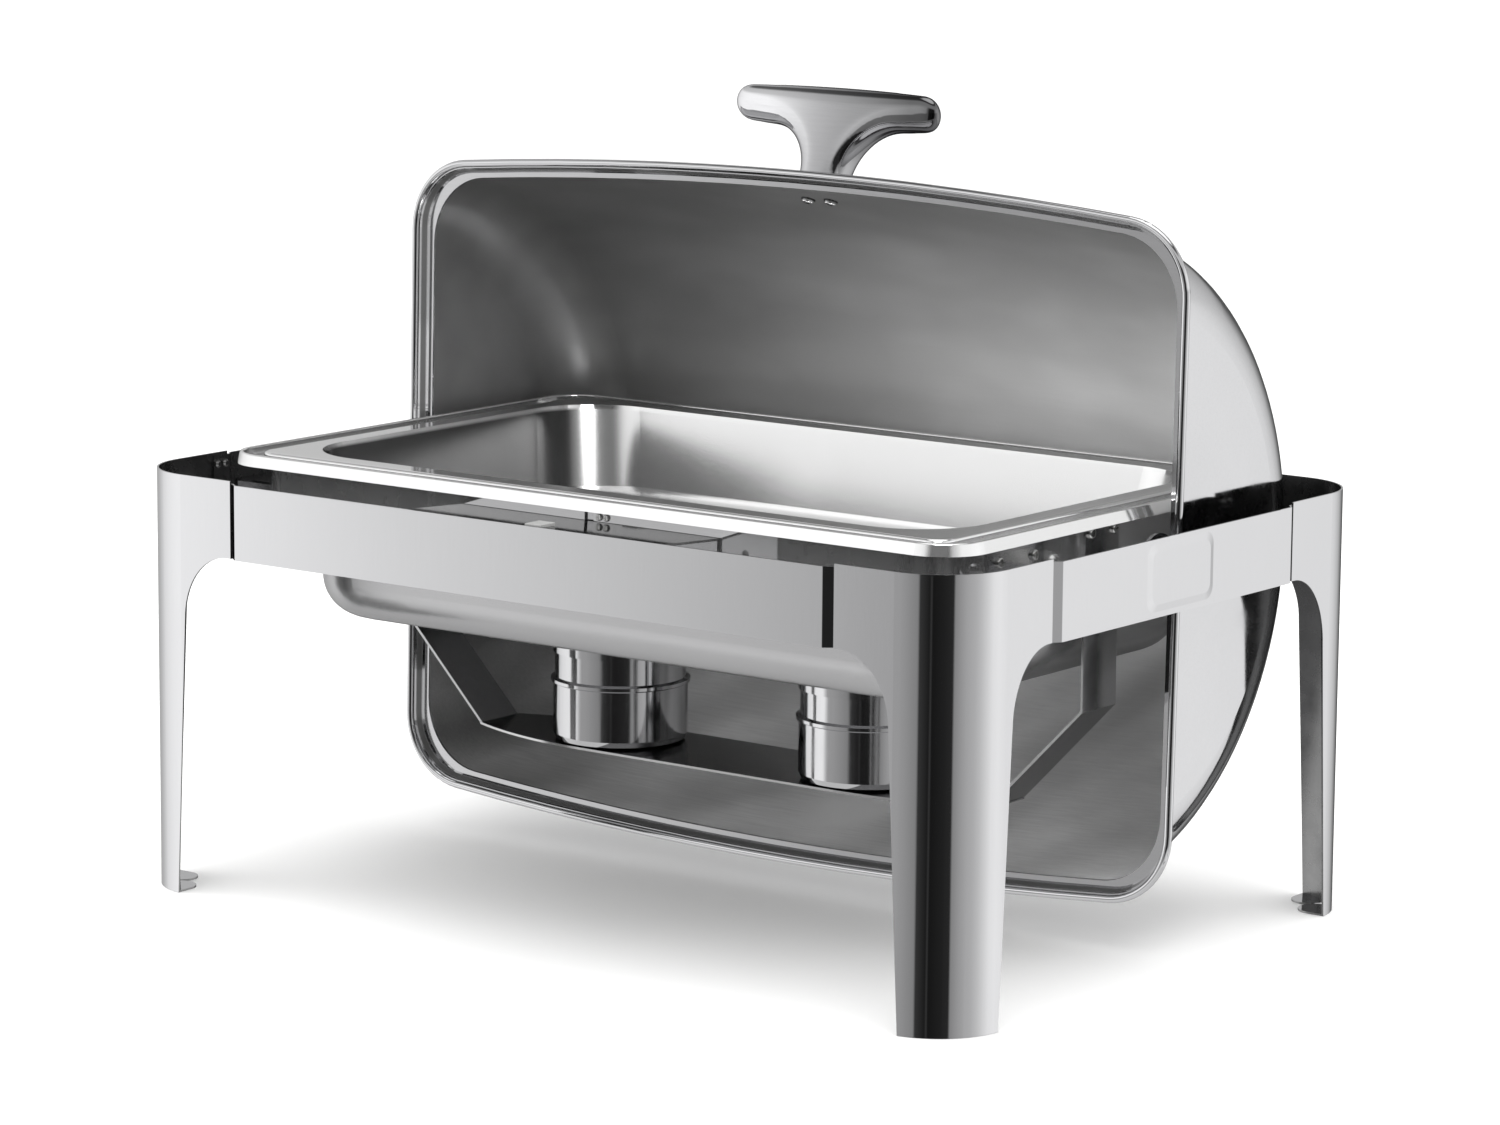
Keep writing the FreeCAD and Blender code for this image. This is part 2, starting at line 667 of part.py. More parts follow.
def lean_back(shape):
    """Lean a lid piece back about the pivot to the lid's open rest."""
    shape = shape.copy()
    shape.rotate(Vector(0, 0, PIVOT_Z), X_AXIS, -LID_LEAN)
    return shape


def lid_shell():
    barrel = roll_solid(LID_SHEET)
    hollow = roll_solid(0.0)
    reach = 2 * LID_HALF_W
    keep = box(-reach, reach, LID_STEP_Y - LID_SHEET, reach, -reach, reach)
    wall = barrel.common(keep).cut(hollow)
    face = prism(lid_outline(STEP_INSET1, LID_STEP_Y - LID_SHEET), (0, LID_SHEET, 0))
    face = face.cut(hollow)
    step = slanted_ring(STEP_INSET0, STEP_INSET1, LID_RIM_Y + BEAD_R, LID_STEP_Y, LID_SHEET)
    shell = fuse([wall, face, step, rim_bead()])
    holes = handle_holes(HANDLE_SCREW_R + 0.1)
    for x, y, z in ear_rivet_places():
        holes.append(cylinder((x - 5, y, z), (1, 0, 0), 2.1, 10))
        holes.append(cylinder((-x - 5, y, z), (1, 0, 0), 2.1, 10))
    return cut(shell, holes)


EAR_FOOT_X = LID_INNER_X + LID_SHEET + 0.05
EAR_FOOT_Y0 = 60.0
EAR_FOOT_Y1 = 104.0
EAR_BOSS_R = 19.0
EAR_BOSS_UP = 7.5        # the ear's round end stands higher than the pin


def ear_rivet_places():
    return [(LID_INNER_X, y, PIVOT_Z) for y in (EAR_FOOT_Y0 + 14, EAR_FOOT_Y1 - 10)]


def lid_ear():
    """Right ear: a cranked strap from the lid's end wall to the pin."""
    bend0 = 46.0
    outer = [(EAR_X0 + EAR_T, -EAR_BOSS_R), (EAR_X0 + EAR_T, bend0),
             (EAR_FOOT_X + EAR_T, EAR_FOOT_Y0), (EAR_FOOT_X + EAR_T, EAR_FOOT_Y1),
             (EAR_FOOT_X, EAR_FOOT_Y1), (EAR_FOOT_X, EAR_FOOT_Y0 - 1.0),
             (EAR_X0, bend0 - 1.0), (EAR_X0, -EAR_BOSS_R)]
    strip = prism(wire_of([(x, y, PIVOT_Z - 40) for x, y in outer]), (0, 0, 80))
    x0, x1 = EAR_FOOT_X - 1, EAR_X0 + EAR_T + 1
    arm = box(x0, x1, 0, EAR_FOOT_Y1 - EAR_HALF, PIVOT_Z - EAR_HALF, PIVOT_Z + EAR_HALF)
    boss = cylinder((x0, 0, PIVOT_Z + EAR_BOSS_UP), (1, 0, 0), EAR_BOSS_R, x1 - x0)
    end = cylinder((x0, EAR_FOOT_Y1 - EAR_HALF, PIVOT_Z), (1, 0, 0), EAR_HALF, x1 - x0)
    ear = strip.common(fuse([arm, boss, end]))
    holes = [cylinder((x0, 0, PIVOT_Z), (1, 0, 0), PIN_R + 0.05, x1 - x0)]
    for _, y, z in ear_rivet_places():
        holes.append(cylinder((x0, y, z), (1, 0, 0), 2.1, x1 - x0))
    return cut(ear, holes)


def ear_rivets():
    """Domed rivets through the lid wall and the ears' feet."""
    rivets = []
    for x, y, z in ear_rivet_places():
        grip0 = x - 0.05
        grip1 = EAR_FOOT_X + EAR_T + 0.05
        shank = cylinder((grip0 - 0.5, y, z), (1, 0, 0), 2.05, grip1 - grip0 + 1.0)
        inner = Part.makeSphere(5.0, Vector(grip0 + 3.4, y, z))
        inner = inner.common(box(grip0 - 3, grip0, y - 6, y + 6, z - 6, z + 6))
        outer = Part.makeSphere(5.0, Vector(grip1 - 3.4, y, z))
        outer = outer.common(box(grip1, grip1 + 3, y - 6, y + 6, z - 6, z + 6))
        rivet = shank.fuse([inner, outer]).removeSplitter()
        rivets += [rivet, mirror_x(rivet)]
    return Part.makeCompound(rivets)


# ---------------------------------------------------------------- handle
def handle_outline(y):
    """T outline seen from the front, in a local frame with Z outward."""
    neck_z = HANDLE_UNDER - HANDLE_FLARE
    end_u = HANDLE_HALF_LEN - HANDLE_END_R
    end_z = HANDLE_UNDER + HANDLE_RISE
    top_z = end_z + 2 * HANDLE_END_R
    flare_centre = (HANDLE_STEM + HANDLE_FLARE, neck_z)
    edges = []
    for sign in (1, -1):
        def side(u, v, sign=sign):
            return Vector(sign * u, y, v)
        edges.append(Part.makeLine(side(HANDLE_STEM, -HANDLE_SUNK), side(HANDLE_STEM, neck_z)))
        edges.append(arc_about(flare_centre, HANDLE_FLARE, math.pi, math.pi / 2, side))
        edges.append(Part.makeLine(side(flare_centre[0], HANDLE_UNDER), side(end_u, end_z)))
        tip = side(HANDLE_HALF_LEN, end_z + HANDLE_END_R)
        edges.append(Part.Arc(side(end_u, end_z), tip, side(end_u, top_z)).toShape())
    crown = Vector(0, y, top_z + HANDLE_RISE)
    edges.append(Part.Arc(Vector(-end_u, y, top_z), crown, Vector(end_u, y, top_z)).toShape())
    edges.append(Part.makeLine(Vector(-HANDLE_STEM, y, -HANDLE_SUNK),
                               Vector(HANDLE_STEM, y, -HANDLE_SUNK)))
    return Part.Wire(Part.__sortEdges__(edges))


def lid_handle():
    body = Part.Face(handle_outline(-HANDLE_T / 2)).extrude(Vector(0, HANDLE_T, 0))
    edges = []
    for edge in body.Edges:
        middle = edge.CenterOfMass
        on_face = abs(abs(middle.y) - HANDLE_T / 2) < 0.01
        if on_face and middle.z > 0.1 - HANDLE_SUNK:
            edges.append(edge)
    body = body.makeFillet(HANDLE_EDGE_R, edges)
    body = on_lid_top(body, HANDLE_LEAN - HANDLE_SEAT)
    body = body.cut(roll_solid(LID_SHEET + 0.05))
    bores = []
    for x in (-HANDLE_SCREW_X, HANDLE_SCREW_X):
        bores.append(on_lid_top(cylinder((x, 0, -5), (0, 0, 1), HANDLE_SCREW_R + 0.05, 19)))
    return cut(body, bores)


def handle_screws():
    screws = []
    for x in (-HANDLE_SCREW_X, HANDLE_SCREW_X):
        seat = (x, 0, -LID_SHEET - 0.95)
        screw = pan_screw(seat, (0, 0, 1), HANDLE_SCREW_R, 15.0, 3.8, 2.0)
        screws.append(on_lid_top(screw))
    return Part.makeCompound(screws)


def handle_washers():
    washers = []
    for x in (-HANDLE_SCREW_X, HANDLE_SCREW_X):
        ring = cylinder((x, 0, -LID_SHEET - 0.9), (0, 0, 1), 4.6, 0.8)
        ring = ring.cut(cylinder((x, 0, -LID_SHEET - 2), (0, 0, 1), HANDLE_SCREW_R + 0.1, 4))
        washers.append(on_lid_top(ring))
    return Part.makeCompound(washers)


# ---------------------------------------------------------------- pans
def basin(hx, hy, corner_r, taper, z0, z1, base_r):
    """Tapered tub with a rounded foot; hx and hy are its sizes at z1."""
    low = rounded_rect(hx - taper, hy - taper, corner_r, z0)
    high = rounded_rect(hx, hy, corner_r, z1)
    tub = Part.makeLoft([low, high], True, True)
    foot = [e for e in tub.Edges if e.BoundBox.ZMax < z0 + 0.01]
    return tub.makeFillet(base_r, foot)


def water_pan():
    """Deep pan: tapered body, flange and a nearly upright outer lip."""
    sheet = 1.0
    z1 = FLANGE_TOP
    body = basin(WATER_X, WATER_Y, WATER_CORNER_R, WATER_TAPER, WATER_BASE, z1, 26.0)
    hollow = basin(WATER_X - sheet, WATER_Y - sheet, WATER_CORNER_R - sheet, WATER_TAPER,
                   WATER_BASE + sheet, z1 + 1.0, 25.0)
    flange = rounded_block(LIP_X - 1.5, LIP_Y - 1.5, LIP_R - 1.5, z1 - sheet, z1)
    outer = Part.makeLoft([rounded_rect(LIP_X, LIP_Y, LIP_R, LIP_Z0),
                           rounded_rect(LIP_X - LIP_DRAFT, LIP_Y - LIP_DRAFT, LIP_R - LIP_DRAFT,
                                        PAN_TOP)], True, True)
    lip = outer.cut(rounded_block(LIP_X - LIP_T, LIP_Y - LIP_T, LIP_R - LIP_T,
                                  LIP_Z0 - 1, PAN_TOP + 1))
    crest = [e for e in lip.Edges if e.BoundBox.ZMin > PAN_TOP - 0.01]
    lip = lip.makeFillet(1.1, crest)
    return fuse([body, flange, lip]).cut(hollow)


def food_pan():
    """Gastronorm pan: tapered well, flat rim with a turned-down edge."""
    sheet = 0.9
    body = basin(FOOD_X, FOOD_Y, FOOD_CORNER_R, FOOD_TAPER, FOOD_BASE, PAN_TOP, 15.0)
    hollow = basin(FOOD_X - sheet, FOOD_Y - sheet, FOOD_CORNER_R - sheet, FOOD_TAPER,
                   FOOD_BASE + sheet, PAN_TOP + 1.0, 14.1)
    rim = rounded_block(FOOD_RIM_X, FOOD_RIM_Y, FOOD_RIM_R, FLANGE_TOP + 0.1, PAN_TOP)
    crest = [e for e in rim.Edges if e.BoundBox.ZMin > PAN_TOP - 0.01]
    rim = rim.makeFillet(2.2, crest)
    under = rounded_block(FOOD_RIM_X - 1.4, FOOD_RIM_Y - 1.4, FOOD_RIM_R - 1.4,
                          FLANGE_TOP - 1, PAN_TOP - 1.2)
    return fuse([body, rim.cut(under)]).cut(hollow)


# ---------------------------------------------------------------- fuel tray
def shelf_outline(z):
    """Shelf with straight sides that sweep in to the strap width."""
    straight = 100.0
    drop = SHELF_HALF_W - STRAP_HALF_W
    reach = math.sqrt(SHELF_END_R ** 2 - (SHELF_END_R - drop) ** 2)
    x1 = straight + reach
    mid = reach * 0.55
    mid_y = SHELF_HALF_W - (SHELF_END_R - math.sqrt(SHELF_END_R ** 2 - mid ** 2))
    edges = []
    for sy in (1, -1):
        edges.append(Part.makeLine(Vector(-straight, sy * SHELF_HALF_W, z),
                                   Vector(straight, sy * SHELF_HALF_W, z)))
        for sx in (1, -1):
            edges.append(Part.Arc(Vector(sx * straight, sy * SHELF_HALF_W, z),
                                  Vector(sx * (straight + mid), sy * mid_y, z),
                                  Vector(sx * x1, sy * STRAP_HALF_W, z)).toShape())
    for sx in (1, -1):
        edges.append(Part.makeLine(Vector(sx * x1, STRAP_HALF_W, z),
                                   Vector(sx * x1, -STRAP_HALF_W, z)))
    return Part.Wire(Part.__sortEdges__(edges)), x1


def fuel_tray():
    """One long sheet strip: two hangers, two slopes and the shelf."""
    z0 = SHELF_TOP - TRAY_T
    outline, x1 = shelf_outline(z0)
    shelf = prism(outline, (0, 0, TRAY_T))
    x_in = STRAP_X
    x_out = STRAP_X + TRAY_T
    slope = [(x1 - 1.0, z0), (x_out, STRAP_BEND_Z - 1.0), (x_out, 269.0), (x_in, 269.0),
             (x_in, STRAP_BEND_Z), (x1 - 2.0, SHELF_TOP)]
    wire = wire_of([(x, -STRAP_HALF_W, z) for x, z in slope])
    strap = prism(wire, (0, 2 * STRAP_HALF_W, 0))
    holes = []
    for sign in (-1, 1):
        for y in (-TRAY_SCREW_Y, TRAY_SCREW_Y):
            holes.append(cylinder((sign * (x_in - 2), y, TRAY_SCREW_Z), (sign, 0, 0), 2.0, 6))
    for x in CUP_CENTRES:
        holes.append(cylinder((x, 0, z0 - 1), (0, 0, 1), 15.0, 4))
    return cut(fuse([shelf, strap, mirror_x(strap)]), holes)


def tray_screws():
    screws = []
    seat = STRAP_X + TRAY_T
    for y in (-TRAY_SCREW_Y, TRAY_SCREW_Y):
        screw = pan_screw((seat, y, TRAY_SCREW_Z), (-1, 0, 0), 1.9, 5.0, 3.4, 2.2)
        screws += [screw, mirror_x(screw)]
    return Part.makeCompound(screws)


# ---------------------------------------------------------------- fuel cups
def turned(profile):
    """Solid of revolution about Z from (radius, height) points."""
    wire = wire_of([(r, 0, z) for r, z in profile])
    return Part.Face(wire).revolve(Vector(0, 0, 0), Z_AXIS, 360)


def fuel_cup():
    """Sheet cup: rounded foot, bead at mid height, narrower neck."""
    t = 0.8
    z0 = SHELF_TOP + 0.05
    outer = [(0, z0), (CUP_R - 5, z0), (CUP_R - 1.5, z0 + 1.5), (CUP_R, z0 + 5),
             (CUP_R, CUP_SHOULDER_Z), (CUP_R + 1.6, CUP_SHOULDER_Z + 0.9),
             (CUP_R + 1.6, CUP_SHOULDER_Z + 3.0), (CUP_R - 1.0, CUP_SHOULDER_Z + 4.2),
             (CUP_R - 1.0, CUP_TOP)]
    inner = [(CUP_R - 1.0 - t, CUP_TOP), (CUP_R - 1.0 - t, CUP_SHOULDER_Z + 4.2),
             (CUP_R - t, CUP_SHOULDER_Z + 2.0), (CUP_R - t, z0 + 5.4),
             (CUP_R - 2.2, z0 + 2.2), (CUP_R - 5.4, z0 + t), (0, z0 + t)]
    return turned(outer + inner)


def fuel_can():
    """Gel fuel can standing in the cup: rolled rims and a round mouth."""
    z0 = SHELF_TOP + 1.0
    z1 = CUP_TOP - 6.0
    r = 38.0
    outer = [(0, z0 + 1.5), (r - 2, z0 + 1.5), (r - 2, z0), (r, z0), (r, z0 + 3), (r - 1, z0 + 4),
             (r - 1, z1 - 4), (r, z1 - 3), (r, z1), (r - 2, z1), (r - 2, z1 - 2)]
    inner = [(21, z1 - 2), (21, z1 - 2.8), (r - 2.2, z1 - 2.8), (r - 2.2, z0 + 2.3), (0, z0 + 2.3)]
    return turned(outer + inner)


def cup_cover():
    """Ring cover with a skirt over the neck and a flame opening."""
    z1 = CUP_TOP
    r = CUP_R
    outer = [(24, z1 + 0.1), (24, z1 + 1.0), (r - 1, z1 + 1.0), (r + 0.4, z1 - 0.4),
             (r + 0.4, z1 - 8), (r - 0.4, z1 - 8), (r - 0.4, z1 + 0.1)]
    cover = turned(outer)
    hole = cylinder((-(r - 7), 0, z1 - 2), (0, 0, 1), 1.6, 6)
    return cover.cut(hole)


def snuffer():
    """Round flap that swivels over the flame opening; shown shut."""
    z0 = CUP_TOP + 1.05
    disc = cylinder((0, 0, z0), (0, 0, 1), 27.0, 1.0)
    neck = box(-(CUP_R - 7), -20, -6, 6, z0, z0 + 1.0)
    eye = cylinder((-(CUP_R - 7), 0, z0), (0, 0, 1), 6.0, 1.0)
    grip = box(22, 38, -5, 5, z0, z0 + 1.0)
    grip_tip = cylinder((38, 0, z0), (0, 0, 1), 5.0, 1.0)
    flap = fuse([disc, neck, eye, grip, grip_tip])
    return flap.cut(cylinder((-(CUP_R - 7), 0, z0 - 1), (0, 0, 1), 1.6, 4))


def snuffer_rivet():
    z0 = CUP_TOP
    x = -(CUP_R - 7)
    shank = cylinder((x, 0, z0 - 0.9), (0, 0, 1), 1.55, 4.0)
    top = cylinder((x, 0, z0 + 2.1), (0, 0, 1), 3.0, 1.0)
    bottom = cylinder((x, 0, z0 - 0.9), (0, 0, 1), 3.0, 0.95)
    return fuse([shank, top, bottom])


def place_cup(shape, x):
    shape = shape.copy()
    shape.translate(Vector(x, 0, 0))
    return shape


# ---------------------------------------------------------------- lid buffer
def lid_buffer():
    """Small clear bumper on the ledge that the closed lid rests on."""
    z1 = PIVOT_Z + LID_RIM_Y - 0.1
    profile = [(y, ledge_height(y) + 0.05) for y in BUFFER_Y] + [(y, z1) for y in BUFFER_Y[::-1]]
    block = side_prism(profile, *BUFFER_X)
    top = [e for e in block.Edges if e.BoundBox.ZMin > z1 - 0.05]
    return block.makeFillet(0.6, top)


# ---------------------------------------------------------------- output
def pieces():
    rear_right = leg()
    rear = long_rail()
    right = side_rail()
    bracket = side_bracket()
    ear = lean_back(lid_ear())
    made = {
        "rear_right_leg": rear_right,
        "rear_left_leg": mirror_x(rear_right),
        "front_right_leg": mirror_y(rear_right),
        "front_left_leg": mirror_x(mirror_y(rear_right)),
        "rear_rail": rear,
        "front_rail": mirror_y(rear),
        "right_rail": right,
        "left_rail": mirror_x(right),
        "rail_nuts": rail_nuts(),
        "support_ring": support_ring(),
        "front_ledge": front_ledge(),
        "ring_joint": ring_joint(),
        "ring_screws": ring_screws(),
        "right_side_bracket": bracket,
        "left_side_bracket": mirror_x(bracket),
        "bracket_screws": bracket_screws(),
        "lid_buffer": lid_buffer(),
        "lid_shell": lean_back(lid_shell()),
        "right_lid_ear": ear,
        "left_lid_ear": mirror_x(ear),
        "ear_rivets": lean_back(ear_rivets()),
        "lid_handle": lean_back(lid_handle()),
        "handle_screws": lean_back(handle_screws()),
        "handle_washers": lean_back(handle_washers()),
        "water_pan": water_pan(),
        "food_pan": food_pan(),
        "fuel_tray": fuel_tray(),
        "tray_screws": tray_screws(),
    }
    for name, build in (("pivot_plate", pivot_plate), ("pivot_pin", pivot_pin),
                        ("pivot_bush", pivot_bush), ("pivot_washer", pivot_washer),
                        ("pivot_nut", pivot_nut)):
        shape = build()
        made["right_" + name] = shape
        made["left_" + name] = mirror_x(shape)
    for name, build in (("fuel_cup", fuel_cup), ("fuel_can", fuel_can),
                        ("cup_cover", cup_cover), ("snuffer", snuffer),
                        ("snuffer_rivet", snuffer_rivet)):
        shape = build()
        made["left_" + name] = place_cup(shape, CUP_CENTRES[0])
        made["right_" + name] = place_cup(shape, CUP_CENTRES[1])
    return made


def main():
    os.makedirs(OUT_DIR, exist_ok=True)
    for name, shape in sorted(pieces().items()):
        if not shape.isValid():
            print("not valid:", name)
        shape.exportStep(os.path.join(OUT_DIR, name + ".step"))
        print(name, len(shape.Solids), round(shape.Volume / 1000, 2), "cm3")


main()
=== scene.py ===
"""Looks for the roll-top chafing dish: steel finishes, a cast handle and a soft studio.

Metres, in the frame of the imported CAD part. Run inside Blender.
"""

import json
import math

import bpy
import numpy as np
from mathutils import Matrix, Vector


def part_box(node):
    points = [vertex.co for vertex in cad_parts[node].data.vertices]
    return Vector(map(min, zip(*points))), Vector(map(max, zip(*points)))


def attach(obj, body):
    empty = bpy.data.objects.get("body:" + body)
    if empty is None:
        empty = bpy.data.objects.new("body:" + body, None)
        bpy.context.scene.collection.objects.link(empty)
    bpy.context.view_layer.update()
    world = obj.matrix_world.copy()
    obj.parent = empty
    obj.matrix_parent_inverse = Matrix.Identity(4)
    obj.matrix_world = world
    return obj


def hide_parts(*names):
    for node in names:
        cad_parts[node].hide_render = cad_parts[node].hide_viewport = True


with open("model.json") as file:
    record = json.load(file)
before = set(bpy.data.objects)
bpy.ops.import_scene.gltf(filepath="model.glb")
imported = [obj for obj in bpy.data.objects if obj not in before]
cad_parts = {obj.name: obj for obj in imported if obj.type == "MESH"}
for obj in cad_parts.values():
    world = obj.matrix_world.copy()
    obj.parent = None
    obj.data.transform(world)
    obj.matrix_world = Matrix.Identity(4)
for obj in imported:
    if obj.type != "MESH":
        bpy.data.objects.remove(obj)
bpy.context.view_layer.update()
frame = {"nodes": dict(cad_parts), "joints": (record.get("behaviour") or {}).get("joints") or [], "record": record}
NODES = frame["nodes"]
JOINTS = {joint["name"]: joint for joint in frame["joints"]}

# Camera: where it stands and how it is turned
CAMERA_AT = Vector((1.98388, -2.62338, 0.78640))
CAMERA_YAW = -0.64655
CAMERA_PITCH = 0.17251
CAMERA_ROLL = 0.00783
LENS_MM = 127.57
SENSOR_MM = 36.0
CAMERA_REACH = 100.0

# Studio
FLOOR_SIZE = 30.0
FLOOR_DROP = 0.0002                  # the floor lies this far under the feet
FLOOR_COLOUR = (0.93, 0.93, 0.925)
FLOOR_DARKER = 0.985
PAPER_SCALE = 180.0
PAPER_ROUGH = 0.9
PAPER_SHEEN = 0.1
ROOM_LIGHT = 1.24

# What the polished metal sees round it at low level: (azimuth in degrees, brightness).
# 0 is +X and -90 is towards the front; the dark band is the unlit room behind the camera.
LOW_PANELS = (
    (-180, 1.22), (-134, 1.30), (-132.6, 1.18), (-131, 0.98), (-129.3, 0.84), (-127.7, 0.72),
    (-126.3, 0.60), (-125.4, 0.47), (-115, 0.46), (-88, 0.32), (-86.3, 0.27),
    (-85, 0.05), (-70, 0.015), (-68, 0.06), (-66, 0.012), (-50, 0.02),
    (-36.2, 0.03), (-34.2, 0.33), (-17, 0.52), (-3, 0.62), (6, 0.74), (16, 0.92), (27, 1.13),
    (39, 1.20), (60, 1.15), (85, 0.95), (96, 0.55), (104, 0.24), (120, 0.13), (137, 0.13), (144, 1.00),
    (180, 1.16),
)
# The panels just above those, seen by sloping walls and flat rims
MID_PANELS = (
    (-180, 1.15), (-127, 1.35), (-100, 0.95), (-88, 0.25), (-82, 0.04), (-42, 0.04), (-33, 0.50),
    (-10, 1.05), (35, 1.20), (60, 1.00), (100, 0.90), (127, 1.00), (180, 1.15),
)
# The same room away from that level: (elevation in degrees, brightness)
HIGH_PANELS = (
    (-90, 0.75), (-45, 0.75), (-32, 1.0), (8, 0.95), (20, 0.85), (34, 0.75), (44, 0.70),
    (50, 0.14), (58, 0.10), (63, 1.7), (90, 2.1),
)
# Elevations between which the low and the middle panels are seen, with their soft edges
LOW_FROM = (-34.0, -22.0)
LOW_TO = (4.0, 8.0)
MID_TO = (22.0, 30.0)

# Lamps: name, place, size, power in watts, the nodes it lights (all of them when empty)
LAMPS = (
    ("top_panel", (0.3, -0.4, 3.2), 2.8, 60.0, ()),
    ("left_panel", (-2.6, -1.6, 1.8), 1.8, 12.0, ()),
    ("pan_lamp", (0.42, -0.42, 0.66), 0.30, 2.4, ("food_pan", "water_pan")),
)
LAMPS_AIM = Vector((0.0, 0.0, 0.2))

# Steel: scales are in waves per metre, depths in metres
NOISE_RANGE = (0.3, 0.7)             # the values that most of a noise falls between
LINES_RANGE = (0.25, 0.75)
FINE_GRAIN = 3.1                     # how much finer the second grain is
FINE_SHARE = 0.4
DRIFT_SCALE = 7.0
SMUDGE_SCALE = 34.0
SMUDGE_RANGE = (0.48, 0.72)
GRAIN_DEPTH = 0.00005
WAVE_SCALE = 11.0
WAVE_DEPTH = 0.004
SMOOTHEST = 0.02                     # the lowest roughness a steel may have

# Plastic and rubber
MOULD_DEPTH = 0.0001
MOULD_ROUGH_SWING = 0.06
MOULD_DRIFT = 0.05                   # scale of the colour drift against the grain's
MOULD_DARKER = 0.86

# Inside of the stand: metal that faces this point is dull and gets painted dark shade, darker towards the top
STAND_CENTRE = (0.0, 0.0, 0.2)
STAND_INSIDE = (0.01, 0.03)          # how squarely a face must look at it
INSIDE_MOTTLE_SCALE = 60.0
INSIDE_SHADE_Z = (0.05, 0.24)
INSIDE_SHADE_GREY = (0.24, 0.09)
INSIDE_SHADE_SWING = (0.85, 1.1)
INSIDE_ROUGH = (0.22, 0.32)
INSIDE_METAL = 0.92

# Lid: depths are behind the hinge, along the open lid's own axis
LID_PIVOT = Vector(JOINTS["lid_hinge"]["pos_m"])
LID_CENTRE = LID_PIVOT + Vector((0.0, 0.03, 0.0))    # a point in the open lid's hollow
LID_LEAN = math.radians(1.3)         # the open lid leans back by this much
LID_INWARD = (-0.01, 0.02)
RIM_GROOVE_FROM = (0.0318, 0.0325)
RIM_GROOVE_TO = (0.0352, 0.0362)
# painted shade in the rim groove
RIM_GROOVE_SHADE = 0.15
RIM_GROOVE_METAL = 0.40
BRUSHED_FROM = (0.0386, 0.0392)      # depth at which the brushed inside starts
BRUSHED_GREY = (0.50, 0.86)          # from plain to painted light
BRUSHED_METAL = (0.93, 0.38)
BRUSHED_ROUGH = (0.44, 0.54)
BRUSHED_STRETCH = (0.03, 1.0, 1.0)
BRUSHED_SCALE = 650.0
BRUSHED_Z = (0.05, 0.20)             # the brushing shows most at the bottom of the open lid
BRUSHED_CONTRAST = (0.36, 0.06)
CLOUD_STRETCH = (0.5, 1.0, 1.0)
CLOUD_SCALE = 14.0
CLOUD_RANGE = (0.35, 0.65)
CLOUD_SWING = (0.88, 1.08)
LID_LEFT_SHADE_X = (-0.26, -0.10)          # painted shade: the inside darkens towards its left end
LID_LEFT_SHADE = 0.80
LOWER_Z = (0.26, 0.20)               # where the lower part of the open lid starts
# painted light: the inside is painted lighter and less metallic low down, more to the right
LIGHT_PATCH_Z = (0.43, 0.30)
LIGHT_PATCH_X = (-0.26, 0.10)
LOWER_LIGHT_X = (-0.28, -0.08)
LOWER_LIGHT = (0.2, 1.0)
# painted reflection bands across the lower part of the inside
REFLECTION_TILT = -0.6
REFLECTION_STRETCH = (1.7, 1.0, 0.5)
REFLECTION_SCALE = 9.0
REFLECTION_SWING = (0.66, 1.26)

# Pans: the polished rim starts this far below the pan's top
FOOD_POLISH = 0.0015
WATER_POLISH = 0.0095
POLISH_EDGE = 0.002
POLISH_GREY = 0.77
POLISH_ROUGH = 0.08
POLISH_METAL = 0.90
WELL_SHADE_X = (-0.19, -0.09)         # painted shade: the food pan's well is dark left of here, bright right of it
WELL_SHADE = 0.90
WELL_FACING = (-0.85, -0.5)          # the wall that looks to the front stays bright

# Handle
HANDLE_TILT = math.radians(21.6)     # the handle's seat on the open lid, back from the top
HANDLE_VOXEL = 0.0009
HANDLE_ROUNDS = 45                   # smoothing passes that turn the T into one soft casting
FOOT_ROUNDS = 3                      # smoothing passes where it meets the lid
HANDLE_SWELL = 0.0011                # puts back what the smoothing takes off
HANDLE_KEEP = (0.002, 0.012)         # height above the seat over which the smoothing sets in
HANDLE_HALF_LEN = 0.078
HANDLE_BAR = 0.99                    # points with more than this share of the smoothing form the bar
HANDLE_CROWN = 0.50                  # how much thinner the bar is at its ends
HANDLE_UPRIGHT = math.radians(1.6)   # the bar's own lean back from vertical
HANDLE_SHADE_X = (-0.05, 0.06)       # the handle's metal darkens across this width
HANDLE_SHADE = (1.28, 0.34)


# ---------------------------------------------------------------- node helpers

def plug(tree, value, socket):
    """Links a socket's value, or sets a plain one."""
    if isinstance(value, bpy.types.NodeSocket):
        tree.links.new(value, socket)
    else:
        socket.default_value = value


def new_node(tree, kind, inputs=None, **settings):
    """A shader node with its settings and inputs filled in."""
    node = tree.nodes.new(kind)
    for key, value in settings.items():
        setattr(node, key, value)
    for key, value in (inputs or {}).items():
        plug(tree, value, node.inputs[key])
    return node


def math_node(tree, operation, first, second=0.0, third=0.0):
    inputs = {0: first, 1: second, 2: third}
    return new_node(tree, "ShaderNodeMath", inputs, operation=operation).outputs[0]


def product(tree, first, *others):
    for other in others:
        first = math_node(tree, "MULTIPLY", first, other)
    return first


def remap(tree, value, low, high, new_low=0.0, new_high=1.0):
    inputs = {"Value": value, "From Min": low, "From Max": high, "To Min": new_low, "To Max": new_high}
    return new_node(tree, "ShaderNodeMapRange", inputs, clamp=True).outputs["Result"]


